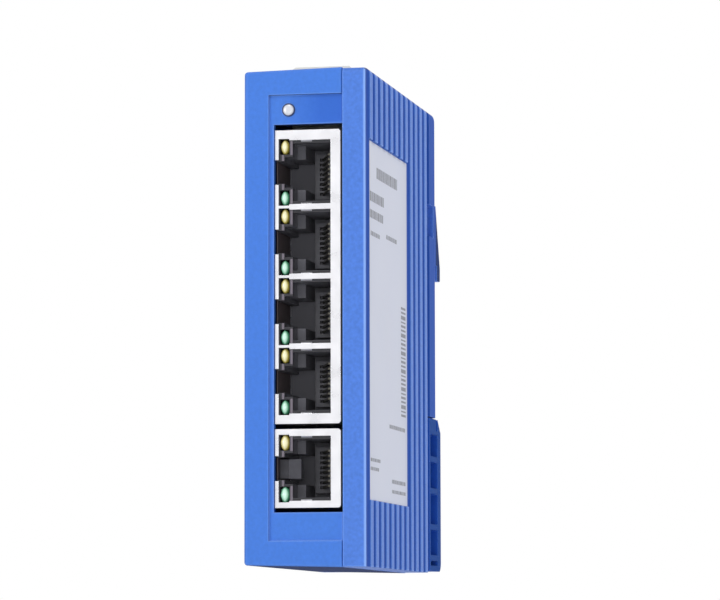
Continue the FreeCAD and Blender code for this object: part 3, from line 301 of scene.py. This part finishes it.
SILVER = Material("bright_tin", colour("dadade"), 0.3, 1.0).mottle(120, 0.02).patchy(260, 0.05) \
    .edge(0.12 * MM).grain(900, 0.01 * MM, 0.2, (1, 1, 0.15)).done()
black = Material("black_moulding", colour("2b2b30"), 0.42, Specular_IOR_Level=0.3).mottle(700, 0.18)
# painted highlight: the black moulding's edges are paler
black.highlight_edges(0.15 * MM, colour("505057"))
# painted light: the black moulding is lighter deeper inside the jacks
black.tint(black.place("Y", -72.6 * MM, -70.0 * MM, 0.9), colour("6a6a72"))
BLACK = black.edge(0.12 * MM).grain(1800, 0.03 * MM, 0.4).done()
# painted highlight: the carrier's edges are paler
CARRIER = Material("carrier_moulding", colour("4c4c54"), 0.42).mottle(700, 0.15) \
    .highlight_edges(0.12 * MM, colour("6a6a70")).edge(0.1 * MM).grain(1800, 0.02 * MM, 0.3).done()
LINING = Material("slot_lining", colour("4b4042"), 0.5).mottle(600, 0.12).grain(1500, 0.02 * MM, 0.3).done()
CONTACT = Material("contact_wire", colour("5a5852"), 0.5, 1.0).mottle(600, 0.1).edge(0.08 * MM).done()
CLIP = Material("lamp_clip", colour("6b646e"), 0.5, 0.2).mottle(900, 0.06).edge(0.08 * MM).done()
STEEL = Material("zinc_steel", colour("b9bcc0"), 0.32, 1.0).patchy(400, 0.06) \
    .grain(700, 0.01 * MM, 0.2).done()
SPRING = Material("spring_wire", colour("a9abb0"), 0.26, 1.0).mottle(900, 0.08) \
    .grain(1200, 0.01 * MM, 0.2).done()
FILM = Material("label_film", colour("cdd2e4"), 0.38).mottle(60, 0.015).patchy(120, 0.03) \
    .grain(300, 0.01 * MM, 0.15).done()
INK = Material("print_grey", colour("82858f"), 0.5).mottle(1500, 0.18).done()


def lamp_resin(name, rim, highlight_colour):
    """Tinted resin, with a painted highlight that makes the lens paler over its front-facing middle."""
    made = Material(name, colour(rim), 0.14, Coat_Weight=0.6).mottle(900, 0.05)
    return made.tint(made.facing("Y", -0.55, -0.97), colour(highlight_colour)).done()


YELLOW = lamp_resin("lamp_yellow", "cdbd4e", "fffbd0")
GREEN = lamp_resin("lamp_green", "57b184", "d6ffea")
LENS = Material("clear_lens", colour("d6d9e2"), 0.14, Coat_Weight=0.5).mottle(500, 0.06).done()
RING = Material("lens_ring", colour("31406b"), 0.45).mottle(700, 0.1).grain(1800, 0.02 * MM, 0.3).done()
BOARD = Material("solder_mask", colour("1d5c33"), 0.3).mottle(350, 0.12).grain(900, 0.01 * MM, 0.3).done()
BRASS = Material("tinned_brass", colour("cbc4a4"), 0.3, 1.0).patchy(400, 0.05).done()
TERMINAL = Material("terminal_moulding", colour("dfdfdc"), 0.4).mottle(500, 0.04).edge(0.2 * MM) \
    .grain(1800, 0.015 * MM, 0.3).done()
ALUMINIUM = Material("drawn_aluminium", colour("c9cacc"), 0.26, 1.0).patchy(500, 0.05).done()
CERAMIC = Material("fired_ceramic", colour("d8d4c4"), 0.5).mottle(500, 0.05).done()
FERRITE = Material("sintered_ferrite", colour("3a3a3c"), 0.55).mottle(700, 0.1) \
    .grain(900, 0.03 * MM, 0.3).done()
PLAIN_WHITE = Material("white_moulding", colour("efece0"), 0.3).mottle(500, 0.03).done()

dress(SHELL_BLUE, "body_shell")
dress(COVER_BLUE, "side_cover")
dress(LATCH_BLUE, "rail_latch")
dress(SILVER, "port_block_shield", "port_5_shield")
dress(BLACK, "port_block_housing", "port_5_housing", "switch_chip", "regulator_chip", "input_diode",
      "transformer_1", "transformer_2", "transformer_3", "power_header")
dress(FILM, "rating_label")
dress(LENS, "status_light_guide")
dress(PLAIN_WHITE, "status_led")
dress(BOARD, "circuit_board")
dress(STEEL, "board_screws", "crystal", "power_plug_screws", "latch_spring")
dress(CERAMIC, "input_fuse")
dress(FERRITE, "power_inductor")
dress(ALUMINIUM, "input_capacitor", "output_capacitor")
dress(BRASS, "power_header_pins", "power_plug_clamps")
dress(TERMINAL, "power_plug")
for port in range(1, 6):
    dress(CARRIER, f"port_{port}_contact_carrier")
    dress(CONTACT, f"port_{port}_contacts")
    dress(YELLOW, f"port_{port}_led_yellow")
    dress(GREEN, f"port_{port}_led_green")


# ---------------------------------------------------------------- mesh helpers
def piece(name, bm, material, body="housing", smooth=True):
    bmesh.ops.recalc_face_normals(bm, faces=bm.faces)
    mesh = bpy.data.meshes.new(name)
    bm.to_mesh(mesh)
    bm.free()
    for face in mesh.polygons:
        face.use_smooth = smooth
    made = bpy.data.objects.new(name, mesh)
    bpy.context.scene.collection.objects.link(made)
    mesh.materials.append(material)
    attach(made, body)
    return made


def skin(bm, pairs):
    """Faces between pairs of rings of vertices."""
    for first, second in pairs:
        for index in range(len(first)):
            after = (index + 1) % len(first)
            bm.faces.new((first[index], first[after], second[after], second[index]))


def add_rings(bm, rings):
    """Skin a list of rings of equally many points, and close both ends."""
    rows = [[bm.verts.new(point) for point in ring] for ring in rings]
    skin(bm, zip(rows, rows[1:]))
    bm.faces.new(rows[0])
    bm.faces.new(rows[-1])


def add_block(bm, low, high, bevel=0.0):
    """A box between two corners in metres, with its edges rounded by bevel."""
    made = bmesh.ops.create_cube(bm, size=1.0)
    size = [high[axis] - low[axis] for axis in range(3)]
    middle = [(high[axis] + low[axis]) / 2 for axis in range(3)]
    bmesh.ops.scale(bm, vec=size, verts=made["verts"])
    bmesh.ops.translate(bm, vec=middle, verts=made["verts"])
    if bevel:
        edges = list({edge for vert in made["verts"] for edge in vert.link_edges})
        bmesh.ops.bevel(bm, geom=edges, offset=bevel, segments=3, profile=0.5, affect="EDGES")


def ring_steps(count):
    return [2 * math.pi * step / count for step in range(count)]


# ---------------------------------------------------------------- lamps of the ports
LAMP_POINTS = 28
LAMP_POWER = 1.75                # 2 is an ellipse, less is more pointed
LAMP_DOME = 1.2 * MM
LAMP_RINGS = 9
LAMP_TIP = 0.02                  # share of its width that the last ring keeps


def lamp_ring(y, middle, half_width, half_height):
    """A ring between an ellipse and a lozenge."""
    ring = []
    for angle in ring_steps(LAMP_POINTS):
        across, along = math.cos(angle), math.sin(angle)
        ring.append((middle[0] + half_width * math.copysign(abs(across) ** (2 / LAMP_POWER), across), y,
                     middle[1] + half_height * math.copysign(abs(along) ** (2 / LAMP_POWER), along)))
    return ring


def lamp(name, node, material, grown):
    """A domed lamp in place of a plain one, wider and higher by the factor grown."""
    low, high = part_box(node)
    middle = ((low[0] + high[0]) / 2, (low[2] + high[2]) / 2)
    half_width, half_height = grown * (high[0] - low[0]) / 2, grown * (high[2] - low[2]) / 2
    rings = [lamp_ring(high[1], middle, half_width, half_height)]
    for step in range(LAMP_RINGS):
        angle = step / LAMP_RINGS * math.pi / 2
        shrink = max(math.cos(angle), LAMP_TIP)
        rings.append(lamp_ring(low[1] + LAMP_DOME * (1 - math.sin(angle)), middle, half_width * shrink,
                               half_height * shrink))
    bm = bmesh.new()
    add_rings(bm, rings)
    made = piece(name, bm, material)
    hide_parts(node)


for port in range(1, 6):
    grown = 1.1 if port == 5 else 1.0            # the single jack's lamps are a little larger
    lamp(f"port_{port}_lens_yellow", f"port_{port}_led_yellow", YELLOW, grown)
    lamp(f"port_{port}_lens_green", f"port_{port}_led_green", GREEN, grown)

# ---------------------------------------------------------------- clips of the jacks
JACK_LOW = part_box("port_block_housing")[0]
CLIP_WIDTH = 0.5 * MM
CLIP_PROUD, CLIP_SUNK = 0.12 * MM, 0.3 * MM      # before and behind the jack's face
CLIP_EDGE = 0.05 * MM
# from the lamp's left side, and the two ends from its middle, towards the jack's outside
CLIPS = ((2.14 * MM, -1.75 * MM, 1.25 * MM), (0.36 * MM, -1.68 * MM, -2.9 * MM))

for port in range(1, 6):
    bm = bmesh.new()
    for kind, up in (("yellow", 1), ("green", -1)):
        low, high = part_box(f"port_{port}_led_{kind}")
        middle = (low[2] + high[2]) / 2
        for left, near, far in CLIPS:
            ends = sorted((middle + up * near, middle + up * far))
            x = low[0] + left
            add_block(bm, (x, JACK_LOW[1] - CLIP_PROUD, ends[0]),
                      (x + CLIP_WIDTH, JACK_LOW[1] + CLIP_SUNK, ends[1]), CLIP_EDGE)
    piece(f"port_{port}_lamp_clips", bm, CLIP, smooth=False)

# ---------------------------------------------------------------- print on the label
label_low, label_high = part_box("rating_label")
PRINT_X = label_high[0]
PRINT_THICKNESS = 0.02 * MM
PRINT_GAP = 0.45
DASHES = (1.1, 0.7, 1.4, 0.9, 0.6, 1.2, 0.8, 1.0)
# start, end, middle height, height and first dash of each row, in mm from the label's front and bottom edges
ROWS = ((9.0, 30.5, 67.6, 2.3, 0), (2.2, 16.5, 62.2, 2.0, 2), (2.2, 15.5, 58.6, 1.7, 4),
        (3.0, 12.0, 54.6, 0.9, 1), (19.0, 30.0, 55.4, 0.9, 3), (22.0, 38.5, 16.0, 0.8, 5),
        (2.5, 12.5, 8.2, 0.7, 2), (2.5, 11.0, 6.4, 0.7, 6), (24.5, 39.0, 4.6, 0.8, 1),
        (24.5, 39.0, 2.5, 0.7, 4))
BARS = (0.5, 0.3, 0.8, 0.4)
LADDER_FRONT, LADDER_REAR, LADDER_LOW, LADDER_HEIGHT = 34.6, 39.4, 18.8, 23.0


def add_print(bm, front, rear, low, high):
    """A plain block of print, in mm from the label's front and bottom edges."""
    add_block(bm, (PRINT_X, label_low[1] + front * MM, label_low[2] + low * MM),
              (PRINT_X + PRINT_THICKNESS, label_low[1] + rear * MM, label_low[2] + high * MM))


bm = bmesh.new()
for start, end, middle, height, index in ROWS:
    while start < end:
        width = min(DASHES[index % len(DASHES)], end - start)
        add_print(bm, start, start + width, middle - height / 2, middle + height / 2)
        start += width + PRINT_GAP
        index += 1
piece("label_rows", bm, INK, smooth=False)

bm = bmesh.new()
rung = 0.0
index = 0
while rung < LADDER_HEIGHT:
    thick = BARS[index % len(BARS)]
    add_print(bm, LADDER_FRONT, LADDER_REAR, LADDER_LOW + rung, LADDER_LOW + rung + thick)
    rung += thick + PRINT_GAP
    index += 1
piece("label_ladder", bm, INK, smooth=False)

# ---------------------------------------------------------------- status lens
LENS_RADIUS = 1.3 * MM
CAP_RADIUS, CAP_HEIGHT, CAP_RINGS = LENS_RADIUS * 0.86, 0.3 * MM, 8
RING_INNER, RING_CREST, RING_OUTER = LENS_RADIUS * 0.88, LENS_RADIUS * 0.95, LENS_RADIUS + 0.04 * MM
RING_HEIGHT, RING_CREST_HEIGHT = 0.12 * MM, 0.2 * MM
LENS_SUNK = 0.1 * MM
lens_low, lens_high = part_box("status_light_guide")
lens_middle = (lens_low[0] + LENS_RADIUS, (lens_low[2] + lens_high[2]) / 2)


def lens_ring(proud, radius):
    """A circle about the lens, proud of its face."""
    return [(lens_middle[0] + radius * math.cos(angle), lens_low[1] - proud,
             lens_middle[1] + radius * math.sin(angle)) for angle in ring_steps(36)]


bm = bmesh.new()
rings = [lens_ring(-LENS_SUNK, CAP_RADIUS)]
for step in range(CAP_RINGS):
    angle = step / CAP_RINGS * math.pi / 2
    rings.append(lens_ring(CAP_HEIGHT * math.sin(angle), CAP_RADIUS * math.cos(angle)))
add_rings(bm, rings)
piece("status_lens_cap", bm, LENS)

bm = bmesh.new()
rows = []
for proud, radius in ((-LENS_SUNK, RING_INNER), (RING_HEIGHT, RING_INNER), (RING_CREST_HEIGHT, RING_CREST),
                      (RING_HEIGHT, RING_OUTER), (-LENS_SUNK, RING_OUTER)):
    rows.append([bm.verts.new(point) for point in lens_ring(proud, radius)])
skin(bm, zip(rows, rows[1:] + rows[:1]))
piece("status_lens_ring", bm, RING)

# ---------------------------------------------------------------- lining of the catch notches
def add_in_jack(bm, centre, near, far, edge):
    """A block between two corners in mm from the jack's left wall, its face and its centre height."""
    origin = (JACK_LOW[0], JACK_LOW[1], centre)
    add_block(bm, [origin[axis] + near[axis] * MM for axis in range(3)],
              [origin[axis] + far[axis] * MM for axis in range(3)], edge * MM)


def jack_centre(port):
    """Half way between the port's lamps."""
    return (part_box(f"port_{port}_led_yellow")[0][2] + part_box(f"port_{port}_led_green")[1][2]) / 2


for port in range(1, 6):
    bm = bmesh.new()
    add_in_jack(bm, jack_centre(port), (0.02, 0.15, -2.25), (0.14, 12.0, 2.25), 0.04)
    piece(f"port_{port}_notch_lining", bm, LINING, smooth=False)

# a stepped keeper stands in the notch of the single port
# painted highlight: the keeper's edges are paler
FLAP = Material("flap_moulding", colour("3d3d44"), 0.45, Specular_IOR_Level=0.3).mottle(700, 0.15) \
    .highlight_edges(0.15 * MM, colour("63636b")).edge(0.15 * MM).grain(1800, 0.02 * MM, 0.3).done()
bm = bmesh.new()
add_in_jack(bm, jack_centre(5), (0.15, 1.9, -2.0), (2.5, 3.2, 2.0), 0.15)
add_in_jack(bm, jack_centre(5), (2.2, 1.2, -2.1), (4.9, 3.2, 2.0), 0.2)
piece("port_5_keeper", bm, FLAP, smooth=False)

# ---------------------------------------------------------------- spring under the latch
spring_low, spring_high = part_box("latch_spring")
SPRING_WIRE = 0.55 * MM
SPRING_TURNS, SPRING_STEPS, WIRE_SIDES = 5, 40, 12
SPRING_CLOSED = 0.35             # how much closer the turns lie at both ends
axis_x = (spring_low[0] + spring_high[0]) / 2
axis_y = (spring_low[1] + spring_high[1]) / 2
coil = min(spring_high[0] - spring_low[0], spring_high[1] - spring_low[1]) / 2 - SPRING_WIRE / 2
start_z = spring_low[2] + SPRING_WIRE / 2
rise = spring_high[2] - spring_low[2] - SPRING_WIRE
rings = []
for step in range(SPRING_TURNS * SPRING_STEPS + 1):
    share = step / (SPRING_TURNS * SPRING_STEPS)
    eased = share - math.sin(2 * math.pi * share) / (2 * math.pi) * SPRING_CLOSED
    turn = 2 * math.pi * step / SPRING_STEPS
    ring = []
    for angle in ring_steps(WIRE_SIDES):
        reach = coil + SPRING_WIRE / 2 * math.cos(angle)
        ring.append((axis_x + reach * math.cos(turn), axis_y + reach * math.sin(turn),
                     start_z + rise * eased + SPRING_WIRE / 2 * math.sin(angle)))
    rings.append(ring)
bm = bmesh.new()
add_rings(bm, rings)
spring = piece("latch_spring_coil", bm, SPRING)
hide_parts("latch_spring")
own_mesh(spring)


# ---------------------------------------------------------------- stage
def stage_plane(name, size, place):
    mesh = bpy.data.meshes.new(name)
    half = size / 2
    corners = [(-half, -half, 0), (half, -half, 0), (half, half, 0), (-half, half, 0)]
    mesh.from_pydata(corners, [], [(0, 1, 2, 3)])
    made = bpy.data.objects.new(name, mesh)
    bpy.context.scene.collection.objects.link(made)
    made.location = place
    return made


FLOOR_GAP = 28 * MM              # the camera looks from below the object's foot
floor = stage_plane("floor", 8.0, (0, 0, CAD_BOX[0][2] - FLOOR_GAP))
floor.data.materials.append(Material("pale_floor", (0.9, 0.9, 0.9, 1), 0.8).mottle(3, 0.02).done())

# the sky is white where it is seen or mirrored, and weaker as a light
DIFFUSE_SKY = 0.32
world = bpy.data.worlds.new("studio")
bpy.context.scene.world = world
world.use_nodes = True
tree = world.node_tree
tree.nodes.clear()
path = tree.nodes.new("ShaderNodeLightPath")
seen = tree.nodes.new("ShaderNodeMath")
seen.operation = "MAXIMUM"
tree.links.new(path.outputs["Is Camera Ray"], seen.inputs[0])
tree.links.new(path.outputs["Is Glossy Ray"], seen.inputs[1])
seen_through = tree.nodes.new("ShaderNodeMath")
seen_through.operation = "MAXIMUM"
tree.links.new(seen.outputs[0], seen_through.inputs[0])
tree.links.new(path.outputs["Is Transmission Ray"], seen_through.inputs[1])
strength = tree.nodes.new("ShaderNodeMapRange")
strength.inputs["To Min"].default_value = DIFFUSE_SKY
strength.inputs["To Max"].default_value = 1.0
tree.links.new(seen_through.outputs[0], strength.inputs["Value"])
background = tree.nodes.new("ShaderNodeBackground")
background.inputs["Color"].default_value = (1, 1, 1, 1)
tree.links.new(strength.outputs["Result"], background.inputs["Strength"])
world_out = tree.nodes.new("ShaderNodeOutputWorld")
tree.links.new(background.outputs["Background"], world_out.inputs["Surface"])


def area_light(name, place, target, size, power):
    light = bpy.data.lights.new(name, "AREA")
    light.shape = "SQUARE"
    light.size = size
    light.energy = power
    made = bpy.data.objects.new(name, light)
    bpy.context.scene.collection.objects.link(made)
    made.location = place
    made.rotation_euler = (Vector(target) - Vector(place)).to_track_quat("-Z", "Y").to_euler()


area_light("key", (-1.0, -1.25, 0.2), (0, 0, 0), 0.6, 7)
area_light("near", (0.17, -0.95, -0.01), (0, -0.04, 0), 0.25, 1.2)
area_light("front", (-0.1, -1.15, 1.25), (0, 0, 0), 0.6, 8.0)
area_light("side", (0.72, 0.99, 1.02), (0, 0, 0), 0.6, 14)

# ---------------------------------------------------------------- camera
camera = bpy.data.objects.new("camera", bpy.data.cameras.new("camera"))
camera.data.sensor_width = 36
camera.data.lens = 190.2
camera.data.clip_end = 20
right = Vector((0.97889278, 0.20436657, -0.00179941))
up = Vector((0.0203384, -0.08865031, 0.99585515))
forward = Vector((-0.20335998, 0.97487201, 0.09093564))
place = Vector((0.16825, -0.82663, -0.06563))
camera.matrix_world = Matrix((
    (right.x, up.x, -forward.x, place.x),
    (right.y, up.y, -forward.y, place.y),
    (right.z, up.z, -forward.z, place.z),
    (0, 0, 0, 1)))
bpy.context.scene.collection.objects.link(camera)
bpy.context.scene.camera = camera

bpy.context.scene.view_settings.view_transform = "Standard"
